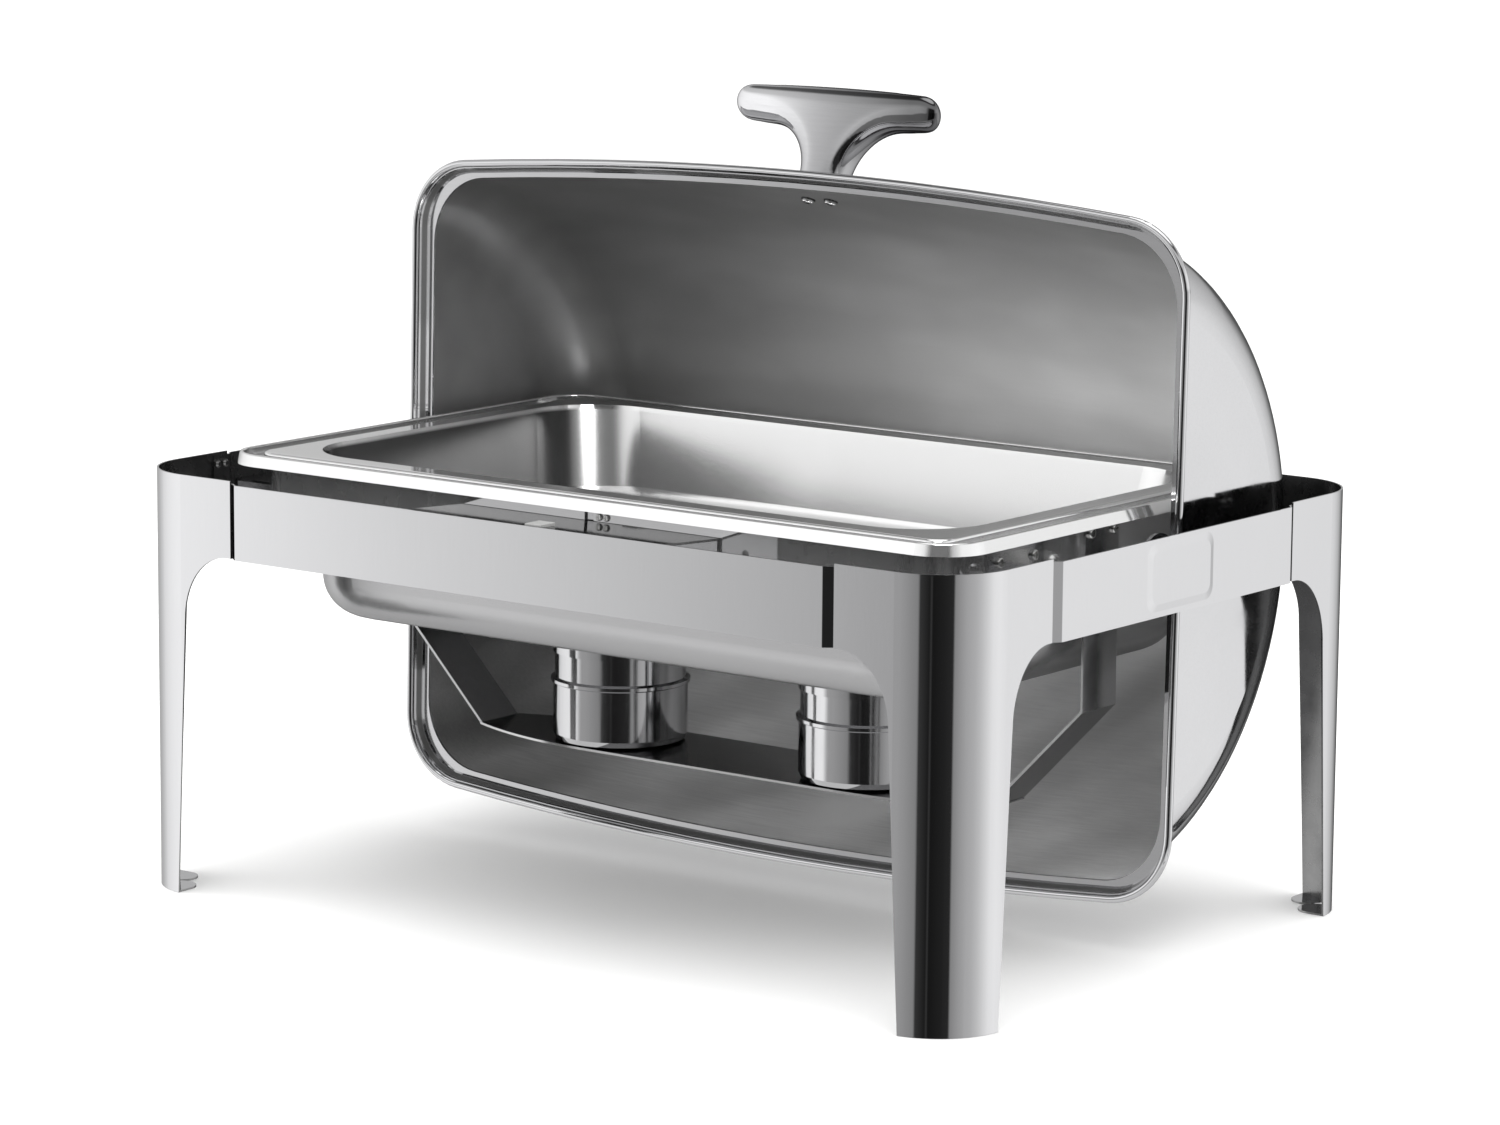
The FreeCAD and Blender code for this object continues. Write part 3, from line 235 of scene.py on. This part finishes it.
def noise(tree, vector, scale, detail=3.0, roughness=0.55):
    inputs = {"Vector": vector, "Scale": scale, "Detail": detail, "Roughness": roughness}
    return new_node(tree, "ShaderNodeTexNoise", inputs).outputs["Fac"]


def stretched(tree, vector, scale):
    return new_node(tree, "ShaderNodeMapping", {"Vector": vector, "Scale": scale}).outputs["Vector"]


def texture_coords(tree, kind):
    return new_node(tree, "ShaderNodeTexCoord").outputs[kind]


def split(tree, vector):
    return new_node(tree, "ShaderNodeSeparateXYZ", {0: vector}).outputs


def grey(tree, value):
    return new_node(tree, "ShaderNodeCombineColor", {0: value, 1: value, 2: value}).outputs[0]


def opaque(colour):
    return colour if isinstance(colour, bpy.types.NodeSocket) else (*colour, 1.0)


def mix_colour(tree, factor, first, second, blend="MIX"):
    inputs = {"Factor": factor, 6: opaque(first), 7: opaque(second)}
    return new_node(tree, "ShaderNodeMix", inputs, data_type="RGBA", blend_type=blend).outputs[2]


def darkened(tree, colour, level):
    """The colour times a level."""
    return mix_colour(tree, 1.0, colour, grey(tree, level), "MULTIPLY")


def mix_value(tree, factor, first, second):
    inputs = {0: factor, 2: first, 3: second}
    return new_node(tree, "ShaderNodeMix", inputs, data_type="FLOAT").outputs[0]


def bump(tree, height, strength, distance, normal=None):
    inputs = {"Height": height, "Strength": strength, "Distance": distance}
    if normal:
        inputs["Normal"] = normal
    return new_node(tree, "ShaderNodeBump", inputs).outputs[0]


def ramp(tree, value, stops):
    """Brightness against a 0-1 value."""
    node = new_node(tree, "ShaderNodeValToRGB", {"Fac": value})
    band = node.color_ramp
    while len(band.elements) > 1:
        band.elements.remove(band.elements[-1])
    for index, (place, level) in enumerate(stops):
        if index:
            element = band.elements.new(place)
        else:
            element = band.elements[0]
            element.position = place
        element.color = (level, level, level, 1.0)
    return node.outputs["Color"]


def new_material(name):
    """A material with its node tree and its shader."""
    material = bpy.data.materials.new(name)
    material.use_nodes = True
    return material, material.node_tree, material.node_tree.nodes["Principled BSDF"]


# ---------------------------------------------------------------- base finishes

def steel(name, colour, rough, grain=(1.0, 1.0, 1.0), grain_scale=900.0, grain_depth=0.25,
          rough_swing=0.05, smudge=0.06, tint=0.05, wave=0.0, metal=1.0, rim_tint=0.5, swap=None):
    """Sheet steel: a directional grain, handling smudges and a slow drift of tint.

    grain stretches the brushing: a small number runs the lines along that axis.
    metal below 1 gives the milky look of a matt blasted or drawn surface.
    rim_tint darkens the reflection where the surface turns away.
    swap(tree, coords, colour, rough, metal) may repaint part of the piece.
    """
    material, tree, shader = new_material(name)
    coords = texture_coords(tree, "Object")
    finer = tuple(g * FINE_GRAIN for g in grain)
    lines = noise(tree, stretched(tree, coords, grain), grain_scale, detail=4.0, roughness=0.65)
    fine = noise(tree, stretched(tree, coords, finer), grain_scale, detail=2.0)
    drift = noise(tree, coords, DRIFT_SCALE)
    marks = noise(tree, coords, SMUDGE_SCALE, detail=5.0, roughness=0.62)

    level = remap(tree, drift, *NOISE_RANGE, 1.0 - tint, 1.0)
    streak = remap(tree, lines, *LINES_RANGE, 1.0 - tint, 1.0)
    painted = darkened(tree, colour, product(tree, level, streak))
    swing = remap(tree, lines, *NOISE_RANGE, -rough_swing, rough_swing)
    roughness = math_node(tree, "ADD", rough, swing)
    roughness = math_node(tree, "ADD", roughness, remap(tree, marks, *SMUDGE_RANGE, 0.0, smudge))
    if swap:
        painted, roughness, metal = swap(tree, coords, painted, roughness, metal)
    plug(tree, painted, shader.inputs["Base Color"])
    plug(tree, metal, shader.inputs["Metallic"])
    plug(tree, math_node(tree, "MAXIMUM", roughness, SMOOTHEST), shader.inputs["Roughness"])
    plug(tree, (rim_tint, rim_tint, rim_tint, 1.0), shader.inputs["Specular Tint"])

    height = math_node(tree, "MULTIPLY_ADD", fine, FINE_SHARE, lines)
    normal = bump(tree, height, grain_depth, GRAIN_DEPTH)
    if wave:
        normal = bump(tree, noise(tree, coords, WAVE_SCALE, detail=1.0), wave, WAVE_DEPTH, normal)
    plug(tree, normal, shader.inputs["Normal"])
    return material


def soft_plastic(name, colour, rough, bump_scale, bump_depth):
    """Moulded plastic or rubber with a fine mould grain."""
    material, tree, shader = new_material(name)
    coords = texture_coords(tree, "Object")
    grain = noise(tree, coords, bump_scale, detail=4.0)
    drift = remap(tree, noise(tree, coords, bump_scale * MOULD_DRIFT, detail=2.0), *NOISE_RANGE)
    darker = tuple(c * MOULD_DARKER for c in colour)
    roughness = remap(tree, grain, *NOISE_RANGE, rough - MOULD_ROUGH_SWING, rough + MOULD_ROUGH_SWING)
    plug(tree, mix_colour(tree, drift, darker, colour), shader.inputs["Base Color"])
    plug(tree, roughness, shader.inputs["Roughness"])
    plug(tree, bump(tree, grain, bump_depth, MOULD_DEPTH), shader.inputs["Normal"])
    return material


def towards(tree, coords, point, spread):
    """How far the surface faces a point, with the distance on each axis scaled by spread."""
    away = {0: tuple(point), 1: coords}
    inward = new_node(tree, "ShaderNodeVectorMath", away, operation="SUBTRACT").outputs["Vector"]
    scaled = {0: inward, 1: spread}
    inward = new_node(tree, "ShaderNodeVectorMath", scaled, operation="MULTIPLY").outputs["Vector"]
    facing = {0: inward, 1: texture_coords(tree, "Normal")}
    return new_node(tree, "ShaderNodeVectorMath", facing, operation="DOT_PRODUCT").outputs["Value"]


# ---------------------------------------------------------------- repainted areas

def shaded_stand_inside(tree, coords, colour, roughness, metal):
    """The stand is mirror polished outside; inside it is dull, with painted dark shade that darkens towards the
    top.
    """
    inside = remap(tree, towards(tree, coords, STAND_CENTRE, (1.0, 1.0, 0.0)), *STAND_INSIDE)
    mottle = noise(tree, coords, INSIDE_MOTTLE_SCALE)
    # painted shade: dark grey, darker towards the top
    dark = remap(tree, split(tree, coords)[2], *INSIDE_SHADE_Z, *INSIDE_SHADE_GREY)
    dark = product(tree, dark, remap(tree, mottle, *NOISE_RANGE, *INSIDE_SHADE_SWING))
    rough = remap(tree, mottle, *NOISE_RANGE, *INSIDE_ROUGH)
    return (mix_colour(tree, inside, colour, grey(tree, dark)),
            mix_value(tree, inside, roughness, rough), mix_value(tree, inside, metal, INSIDE_METAL))


def lid_depth(tree, place):
    """Depth behind the hinge, square to the leaning rim."""
    rise = math_node(tree, "SUBTRACT", place[2], LID_PIVOT.z)
    lean = math_node(tree, "MULTIPLY", rise, -math.sin(LID_LEAN))
    return math_node(tree, "MULTIPLY_ADD", place[1], math.cos(LID_LEAN), lean)


def painted_lid_light(tree, place):
    """Where the brushed inside is painted lighter and less metallic, as painted light: low in the upper half, and
    all the lower part.
    """
    upper = product(tree, remap(tree, place[2], *LIGHT_PATCH_Z), remap(tree, place[0], *LIGHT_PATCH_X))
    lower = product(tree, remap(tree, place[2], *LOWER_Z),
                    remap(tree, place[0], *LOWER_LIGHT_X, *LOWER_LIGHT))
    return math_node(tree, "MAXIMUM", upper, lower)


def lid_reflection_bands(tree, coords, height):
    """Painted reflection: soft light and dark bands that rise to the right across the lower part."""
    inputs = {"Vector": coords, "Rotation": (0.0, REFLECTION_TILT, 0.0), "Scale": REFLECTION_STRETCH}
    slanted = new_node(tree, "ShaderNodeMapping", inputs, vector_type="TEXTURE").outputs["Vector"]
    bands = remap(tree, noise(tree, slanted, REFLECTION_SCALE, detail=1.2), *NOISE_RANGE, *REFLECTION_SWING)
    return mix_value(tree, remap(tree, height, *LOWER_Z), 1.0, bands)


def inside_of_lid(tree, coords, colour, roughness, metal):
    """The lid is polished outside; inside it is brushed and darker, with painted shade in the rim groove and
    towards its left end, a painted lighter patch and painted reflection bands.
    """
    place = split(tree, coords)
    depth = lid_depth(tree, place)
    inward = remap(tree, towards(tree, coords, LID_CENTRE, (1.0, 1.0, 1.0)), *LID_INWARD)
    inside = product(tree, inward, remap(tree, depth, *BRUSHED_FROM))
    groove = product(tree, remap(tree, depth, *RIM_GROOVE_FROM),
                     remap(tree, depth, *RIM_GROOVE_TO, 1.0, 0.0), inward)

    brushed = noise(tree, stretched(tree, coords, BRUSHED_STRETCH), BRUSHED_SCALE, detail=4.0,
                    roughness=0.7)
    cloud = noise(tree, stretched(tree, coords, CLOUD_STRETCH), CLOUD_SCALE, detail=2.0)
    lit_patch = painted_lid_light(tree, place)
    contrast = remap(tree, place[2], *BRUSHED_Z, *BRUSHED_CONTRAST)
    dark = product(tree, math_node(tree, "SUBTRACT", brushed, 0.5), contrast)
    # painted light: a lighter grey in the painted patch
    dark = math_node(tree, "ADD", dark, remap(tree, lit_patch, 0.0, 1.0, *BRUSHED_GREY))
    dark = product(tree, dark, remap(tree, cloud, *CLOUD_RANGE, *CLOUD_SWING),
                   remap(tree, place[0], *LID_LEFT_SHADE_X, LID_LEFT_SHADE, 1.0),
                   lid_reflection_bands(tree, coords, place[2]))
    rough = remap(tree, brushed, *NOISE_RANGE, *BRUSHED_ROUGH)

    painted = mix_colour(tree, inside, colour, grey(tree, dark))
    painted = mix_colour(tree, groove, painted, grey(tree, RIM_GROOVE_SHADE))
    dulled = mix_value(tree, inside, metal, remap(tree, lit_patch, 0.0, 1.0, *BRUSHED_METAL))
    dulled = mix_value(tree, groove, dulled, RIM_GROOVE_METAL)
    return painted, mix_value(tree, inside, roughness, rough), dulled


def polished_rim(node, below_top):
    """A drawn pan: matt below, polished near its top."""
    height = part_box(node)[1].z - below_top

    def swap(tree, coords, colour, roughness, metal):
        rim = remap(tree, split(tree, coords)[2], height - POLISH_EDGE, height)
        return (mix_colour(tree, rim, colour, grey(tree, POLISH_GREY)),
                mix_value(tree, rim, roughness, POLISH_ROUGH), mix_value(tree, rim, metal, POLISH_METAL))
    return swap


def shaded_well(tree, coords, colour, roughness, metal):
    """The food pan: a polished rim, and painted shade in its well, darker towards its left end."""
    normal = split(tree, texture_coords(tree, "Normal"))
    shade = remap(tree, split(tree, coords)[0], *WELL_SHADE_X, WELL_SHADE, 0.0)
    shade = product(tree, shade, remap(tree, normal[1], *WELL_FACING))
    shaded = darkened(tree, colour, math_node(tree, "SUBTRACT", 1.0, shade))
    return polished_rim("food_pan", FOOD_POLISH)(tree, coords, shaded, roughness, metal)


def shaded_casting(tree, coords, colour, roughness, metal):
    """The handle: lighter to the left, for the lit wall that its crowned face would mirror."""
    level = remap(tree, split(tree, coords)[0], *HANDLE_SHADE_X, *HANDLE_SHADE)
    return darkened(tree, colour, level), roughness, metal


# ---------------------------------------------------------------- the object's materials

def sheet_materials():
    """The stand, the lid and the pans."""
    return {
        "polished_steel": steel("polished_steel", (0.66, 0.66, 0.67), 0.05, (1.0, 1.0, 0.04),
                                grain_scale=1100.0, grain_depth=0.03, rough_swing=0.008, smudge=0.02,
                                tint=0.02, swap=shaded_stand_inside),
        "lid_steel": steel("lid_steel", (0.67, 0.67, 0.68), 0.06, (0.04, 1.0, 1.0),
                           grain_depth=0.08, rough_swing=0.02, swap=inside_of_lid),
        "cast_chrome": steel("cast_chrome", (0.56, 0.56, 0.57), 0.05, (0.05, 1.0, 1.0),
                             grain_depth=0.03, rough_swing=0.01, smudge=0.03, wave=0.14, rim_tint=0.1,
                             swap=shaded_casting),
        "food_pan": steel("food_pan_steel", (0.84, 0.84, 0.84), 0.21, (0.06, 1.0, 1.0),
                          grain_scale=1900.0, grain_depth=0.015, rough_swing=0.012, smudge=0.01,
                          tint=0.012, metal=0.88, swap=shaded_well),
        "water_pan": steel("water_pan_steel", (0.52, 0.52, 0.525), 0.26, (0.06, 1.0, 1.0),
                           grain_scale=1900.0, grain_depth=0.01, rough_swing=0.01, smudge=0.0,
                           tint=0.02, metal=0.92, swap=polished_rim("water_pan", WATER_POLISH)),
        "support_ring": steel("ring_steel", (0.72, 0.72, 0.725), 0.05, (0.08, 1.0, 1.0),
                              grain_depth=0.02, rough_swing=0.01, smudge=0.03, tint=0.02, metal=0.86),
        "front_ledge": steel("ledge_steel", (0.84, 0.84, 0.845), 0.05, (1.0, 0.08, 1.0),
                             grain_depth=0.02, rough_swing=0.01, smudge=0.03, tint=0.02),
    }


def small_materials():
    """Brackets, fasteners, the fuel tray with its cups, and the two mouldings."""
    return {
        "bracket_steel": steel("bracket_steel", (0.68, 0.68, 0.69), 0.15, (0.08, 1.0, 1.0)),
        "fastener_steel": steel("fastener_steel", (0.66, 0.66, 0.65), 0.18, (1.0, 1.0, 0.3),
                                grain_scale=1600.0, rough_swing=0.06),
        "handle_screws": steel("screw_steel", (0.95, 0.95, 0.95), 0.06, grain_depth=0.05,
                               rough_swing=0.02),
        "handle_washers": steel("washer_steel", (0.20, 0.20, 0.20), 0.25),
        "fuel_tray": steel("tray_steel", (0.54, 0.54, 0.545), 0.16, (0.08, 1.0, 1.0)),
        "cup_steel": steel("cup_steel", (0.64, 0.64, 0.65), 0.10, (1.0, 1.0, 0.02),
                           grain_scale=1000.0, grain_depth=0.18, rough_swing=0.04),
        "can_steel": steel("can_steel", (0.58, 0.57, 0.55), 0.24, (1.0, 1.0, 0.05)),
        "bush_plastic": soft_plastic("bush_plastic", (0.80, 0.80, 0.77), 0.5, 3000.0, 0.25),
        "buffer_rubber": soft_plastic("buffer_rubber", (0.36, 0.36, 0.355), 0.35, 2200.0, 0.20),
    }


def paint_nodes(materials):
    """Each node gets its own material where it has one, or else its material slot's."""
    for part in frame["record"]["subparts"]:
        node = part["node"]
        mesh = NODES[node].data
        mesh.materials.clear()
        mesh.materials.append(materials.get(node, materials.get(part["material_slot"])))


# ---------------------------------------------------------------- handle

def smoothed(points, edges, rounds):
    """Each point drawn halfway to the mean of its neighbours, several times over."""
    ends = np.concatenate([edges, edges[:, ::-1]])
    count = np.bincount(ends[:, 0], minlength=len(points))[:, None]
    for _ in range(rounds):
        total = np.stack([np.bincount(ends[:, 0], points[ends[:, 1], axis], len(points))
                          for axis in range(3)], 1)
        points = points + 0.5 * (total / count - points)
    return points


def read_array(items, name, width, kind=float):
    """One property of a mesh's points or edges, as rows."""
    values = np.zeros(len(items) * width, kind)
    items.foreach_get(name, values)
    return values.reshape(-1, width)


def crowned(points, share):
    """Front and back faces bowed, so that the bar thins towards its ends."""
    across = np.array((0.0, math.cos(HANDLE_UPRIGHT), -math.sin(HANDLE_UPRIGHT)))
    depth = points @ across
    bar = depth[share[:, 0] > HANDLE_BAR]
    middle = 0.5 * (bar.min() + bar.max())
    bow = HANDLE_CROWN * (points[:, 0] / HANDLE_HALF_LEN) ** 2
    return points - ((depth - middle) * bow * share[:, 0])[:, None] * across


def above_seat(points):
    """0 at the handle's foot on the lid, rising smoothly to 1 over HANDLE_KEEP."""
    height = points @ np.array((0.0, math.sin(HANDLE_TILT), math.cos(HANDLE_TILT)))
    low, high = HANDLE_KEEP
    share = np.clip((height - height.min() - low) / (high - low), 0, 1)
    return (share * share * (3 - 2 * share))[:, None]


def voxel_copy(node, name, voxel_size):
    """A new object with a node's shape as an even mesh."""
    piece = bpy.data.objects.new(name, NODES[node].data.copy())
    bpy.context.scene.collection.objects.link(piece)
    voxels = piece.modifiers.new("voxels", "REMESH")
    voxels.mode = "VOXEL"
    voxels.voxel_size = voxel_size
    graph = bpy.context.evaluated_depsgraph_get()
    mesh = bpy.data.meshes.new_from_object(piece.evaluated_get(graph))
    piece.modifiers.clear()
    piece.data = mesh
    return piece


def cast_handle(material):
    """The T handle as one soft casting in place of the CAD node's flat-faced one."""
    handle = voxel_copy("lid_handle", "handle_casting", HANDLE_VOXEL)
    mesh = handle.data
    edges = read_array(mesh.edges, "vertices", 2, int)
    before = read_array(mesh.vertices, "co", 3)
    soft = smoothed(before, edges, HANDLE_ROUNDS)
    mesh.vertices.foreach_set("co", soft.ravel())
    mesh.update()
    soft += read_array(mesh.vertex_normals, "vector", 3) * HANDLE_SWELL
    share = above_seat(before)
    soft = crowned(soft, share)
    foot = smoothed(before, edges, FOOT_ROUNDS)
    mesh.vertices.foreach_set("co", (foot + share * (soft - foot)).ravel())
    mesh.shade_smooth()
    mesh.materials.clear()
    mesh.materials.append(material)
    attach(handle, "lid")
    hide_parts("lid_handle")


# ---------------------------------------------------------------- studio

def make_floor():
    bpy.ops.mesh.primitive_plane_add(size=FLOOR_SIZE, location=(0, 0, -FLOOR_DROP))
    floor = bpy.context.object
    floor.name = "studio_floor"
    material, tree, shader = new_material("floor_paper")
    pulp = noise(tree, texture_coords(tree, "Object"), PAPER_SCALE, detail=4.0)
    darker = tuple(c * FLOOR_DARKER for c in FLOOR_COLOUR)
    plug(tree, mix_colour(tree, pulp, darker, FLOOR_COLOUR), shader.inputs["Base Color"])
    plug(tree, PAPER_ROUGH, shader.inputs["Roughness"])
    plug(tree, PAPER_SHEEN, shader.inputs["Specular IOR Level"])
    floor.data.materials.append(material)
    floor.visible_glossy = False


def turn_share(degrees):
    """An azimuth as a share of the full turn from -180 degrees."""
    return (degrees + 180) / 360


def rise_share(degrees):
    """An elevation as a share of the way from straight down to straight up."""
    return (degrees + 90) / 180


def make_world():
    """A white room for the camera and the floor, and the panels the metal mirrors."""
    world = bpy.data.worlds.new("studio")
    bpy.context.scene.world = world
    world.use_nodes = True
    tree = world.node_tree
    way = split(tree, texture_coords(tree, "Generated"))
    turn = remap(tree, math_node(tree, "ARCTAN2", way[1], way[0]), -math.pi, math.pi)
    rise = remap(tree, math_node(tree, "ARCSINE", way[2]), -math.pi / 2, math.pi / 2)
    low = ramp(tree, turn, [(turn_share(a), b) for a, b in LOW_PANELS])
    middle = ramp(tree, turn, [(turn_share(a), b) for a, b in MID_PANELS])
    high = ramp(tree, rise, [(rise_share(e), b) for e, b in HIGH_PANELS])

    def edge(limits, start, end):
        return remap(tree, rise, *[rise_share(e) for e in limits], start, end)

    near_level = product(tree, edge(LOW_FROM, 0.0, 1.0), edge(MID_TO, 1.0, 0.0))
    seen = mix_colour(tree, edge(LOW_TO, 0.0, 1.0), low, middle)
    seen = mix_colour(tree, near_level, high, seen)
    ray = new_node(tree, "ShaderNodeLightPath").outputs["Is Glossy Ray"]
    colour = mix_colour(tree, ray, (ROOM_LIGHT, ROOM_LIGHT, ROOM_LIGHT), seen)
    plug(tree, colour, tree.nodes["Background"].inputs["Color"])


def make_lights():
    """Soft panels for the shadow and the satin surfaces, and a lamp over the pan's right end."""
    for name, place, size, power, lit_nodes in LAMPS:
        light = bpy.data.lights.new(name, "AREA")
        light.size = size
        light.energy = power
        lamp = bpy.data.objects.new(name, light)
        bpy.context.scene.collection.objects.link(lamp)
        lamp.location = place
        lamp.rotation_euler = (LAMPS_AIM - Vector(place)).to_track_quat("-Z", "Y").to_euler()
        lamp.visible_glossy = bool(lit_nodes)
        lamp.visible_camera = False
        if lit_nodes:
            lit = bpy.data.collections.new(name + "_lit")
            for node in lit_nodes:
                lit.objects.link(NODES[node])
            lamp.light_linking.receiver_collection = lit


def make_camera():
    forward = Vector((math.sin(CAMERA_YAW) * math.cos(CAMERA_PITCH),
                      math.cos(CAMERA_YAW) * math.cos(CAMERA_PITCH), -math.sin(CAMERA_PITCH)))
    level = Vector((math.cos(CAMERA_YAW), -math.sin(CAMERA_YAW), 0.0))
    upright = level.cross(forward)
    right = level * math.cos(CAMERA_ROLL) + upright * math.sin(CAMERA_ROLL)
    up = upright * math.cos(CAMERA_ROLL) - level * math.sin(CAMERA_ROLL)
    data = bpy.data.cameras.new("main_camera")
    data.lens = LENS_MM
    data.sensor_width = SENSOR_MM
    data.clip_end = CAMERA_REACH
    camera = bpy.data.objects.new("main_camera", data)
    bpy.context.scene.collection.objects.link(camera)
    turn = Matrix((right, up, -forward)).transposed()
    camera.matrix_world = Matrix.Translation(CAMERA_AT) @ turn.to_4x4()
    bpy.context.scene.camera = camera


finishes = {**sheet_materials(), **small_materials()}
paint_nodes(finishes)
cast_handle(finishes["cast_chrome"])
make_floor()
make_world()
make_lights()
make_camera()
bpy.context.scene.view_settings.view_transform = "Standard"
